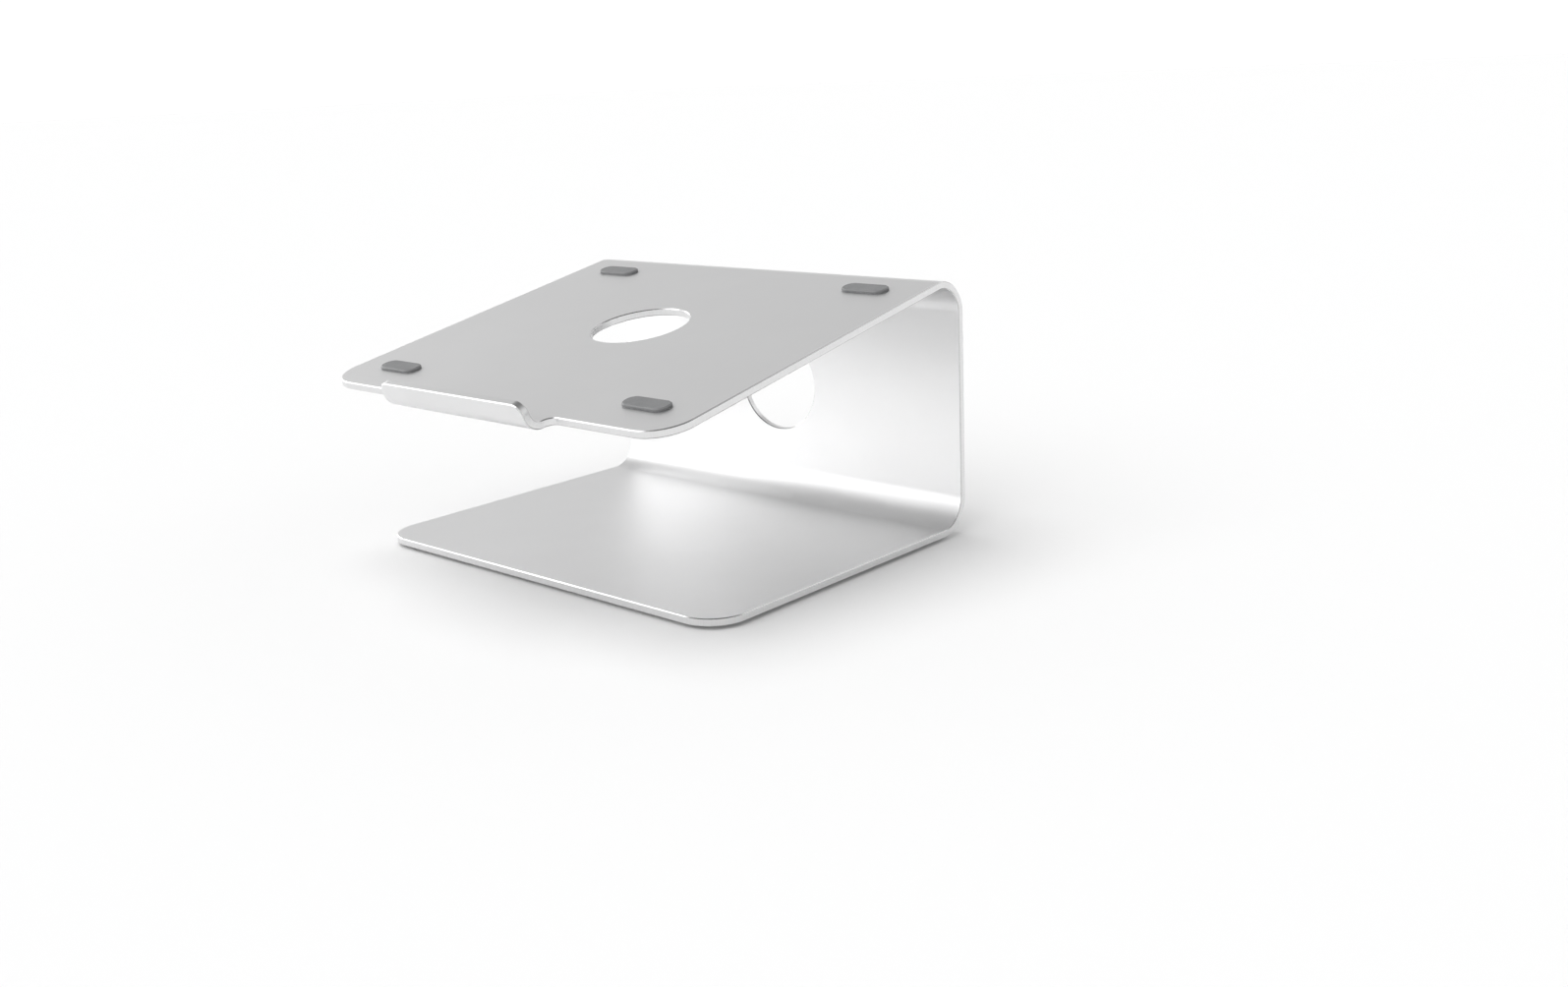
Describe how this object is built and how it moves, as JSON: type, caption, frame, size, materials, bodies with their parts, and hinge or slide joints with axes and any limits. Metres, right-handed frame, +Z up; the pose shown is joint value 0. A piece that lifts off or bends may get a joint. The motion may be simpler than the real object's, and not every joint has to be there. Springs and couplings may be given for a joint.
{
  "type": "laptop stand",
  "caption": "Laptop stand folded from one thick aluminium sheet: flat base, upright back with a round cable hole, sloping deck with a round vent hole, rubber pads and a front lip.",
  "frame": {"origin": "on the desk, below the middle of the stand's bounding box", "axes": "+X to the right across the width, seen from the front; +Y towards the back panel; +Z up"},
  "size_m": [0.254, 0.2494, 0.1402],
  "materials": {
    "sheet": "fine bead-blasted and anodised, natural silver, with bright cut chamfers",
    "pad_rubber": "matt, moulded",
    "adhesive": "translucent double-sided film"
  },
  "bodies": {
    "root": {"body": "sheet", "deck_pad_front_left": "pad_rubber", "deck_pad_front_right": "pad_rubber", "deck_pad_rear_left": "pad_rubber", "deck_pad_rear_right": "pad_rubber", "foot_front_left": "pad_rubber", "foot_front_right": "pad_rubber", "foot_rear_left": "pad_rubber", "foot_rear_right": "pad_rubber", "deck_film_front_left": "adhesive", "deck_film_front_right": "adhesive", "deck_film_rear_left": "adhesive", "deck_film_rear_right": "adhesive", "foot_film_front_left": "adhesive", "foot_film_front_right": "adhesive", "foot_film_rear_left": "adhesive", "foot_film_rear_right": "adhesive"}
  },
  "joints": []
}
